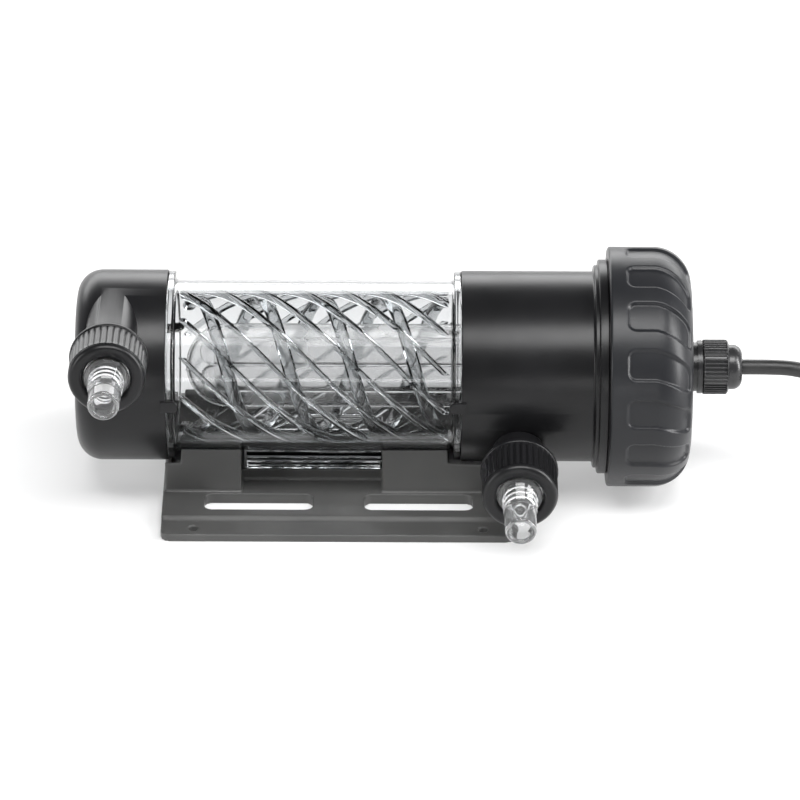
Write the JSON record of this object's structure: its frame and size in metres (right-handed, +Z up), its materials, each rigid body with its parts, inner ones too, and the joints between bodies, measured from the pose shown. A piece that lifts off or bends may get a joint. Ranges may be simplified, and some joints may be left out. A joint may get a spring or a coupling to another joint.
{
  "type": "uv clarifier",
  "caption": "Aquarium or pond UV clarifier: clear spiral-ribbed chamber between black end housings, screwed ring, cable gland and angled hose tails, on a slotted bracket",
  "frame": {"origin": "middle of the bracket's four screw holes, on its bottom face", "axes": "+X along the tube towards the cable end, +Z up, the hose connections point to -Y"},
  "size_m": [0.4177, 0.1891, 0.1024],
  "materials": {
    "bracket_plastic": "satin",
    "housing_plastic": "satin",
    "ring_plastic": "satin",
    "gland_plastic": "satin",
    "clear_plastic": "clear, glossy",
    "clear_ribs": "clear, glossy",
    "quartz": "clear, glossy",
    "lamp_glass": "clear, glossy",
    "seal_rubber": "matte",
    "white_plastic": "satin",
    "metal": "plated",
    "board": "solder mask",
    "board_parts": "moulded",
    "lead_plastic": "satin",
    "cable_rubber": "satin"
  },
  "bodies": {
    "bracket": {"mounting_bracket": "bracket_plastic"},
    "clarifier": {"clear_housing": "clear_plastic", "long_ribs": "clear_ribs", "short_ribs": "clear_ribs", "inlet_end_cap": "housing_plastic", "inlet_cap_seal": "seal_rubber", "outlet_housing": "housing_plastic", "outlet_housing_seal": "seal_rubber", "inlet_seal": "seal_rubber", "outlet_seal": "seal_rubber", "main_seal": "seal_rubber", "quartz_sleeve": "quartz", "sleeve_seal": "seal_rubber", "sleeve_nut": "housing_plastic"},
    "lamp_unit": {"end_cover": "housing_plastic", "gland_body": "gland_plastic", "gland_locknut": "gland_plastic", "gland_insert": "seal_rubber", "lamp_socket": "white_plastic", "socket_screws": "metal", "uv_lamp_tubes": "lamp_glass", "uv_lamp_base": "white_plastic", "lamp_pins": "metal", "ballast_board": "board", "ballast_parts": "board_parts", "inner_leads": "lead_plastic", "power_cable": "cable_rubber", "cable_coil": "cable_rubber", "coil_tie": "cable_rubber", "plug_lead": "cable_rubber", "mains_plug": "cable_rubber", "plug_pins": "metal"},
    "ring": {"locking_ring": "ring_plastic"},
    "gland_cap": {"gland_nut": "gland_plastic"},
    "inlet_tail": {"inlet_hose_tail": "clear_plastic"},
    "inlet_nut": {"inlet_union_nut": "housing_plastic"},
    "outlet_tail": {"outlet_hose_tail": "clear_plastic"},
    "outlet_nut": {"outlet_union_nut": "housing_plastic"}
  },
  "joints": [
    {"name": "clarifier_lift", "type": "slide", "parent": "bracket", "child": "clarifier", "axis": [0, 0, 1], "range_m": [0, 0.06]},
    {"name": "lamp_unit_slide", "type": "slide", "parent": "clarifier", "child": "lamp_unit", "axis": [1, 0, 0], "range_m": [0, 0.2]},
    {"name": "ring_turn", "type": "hinge", "parent": "lamp_unit", "child": "ring", "pos_m": [0.13, 0, 0.052], "axis": [1, 0, 0], "continuous": true},
    {"name": "gland_nut_turn", "type": "hinge", "parent": "lamp_unit", "child": "gland_cap", "pos_m": [0.158, 0, 0.052], "axis": [1, 0, 0], "continuous": true},
    {"name": "inlet_tail_slide", "type": "slide", "parent": "clarifier", "child": "inlet_tail", "axis": [0, -0.9981, 0.061], "range_m": [0, 0.03]},
    {"name": "inlet_nut_turn", "type": "hinge", "parent": "inlet_tail", "child": "inlet_nut", "pos_m": [-0.09395, -0.06014, 0.08423], "axis": [0, -0.9981, 0.061], "continuous": true},
    {"name": "outlet_tail_slide", "type": "slide", "parent": "clarifier", "child": "outlet_tail", "axis": [0, -0.9981, -0.061], "range_m": [0, 0.03]},
    {"name": "outlet_nut_turn", "type": "hinge", "parent": "outlet_tail", "child": "outlet_nut", "pos_m": [0.07515, -0.06081, 0.03065], "axis": [0, -0.9981, -0.061], "continuous": true}
  ]
}
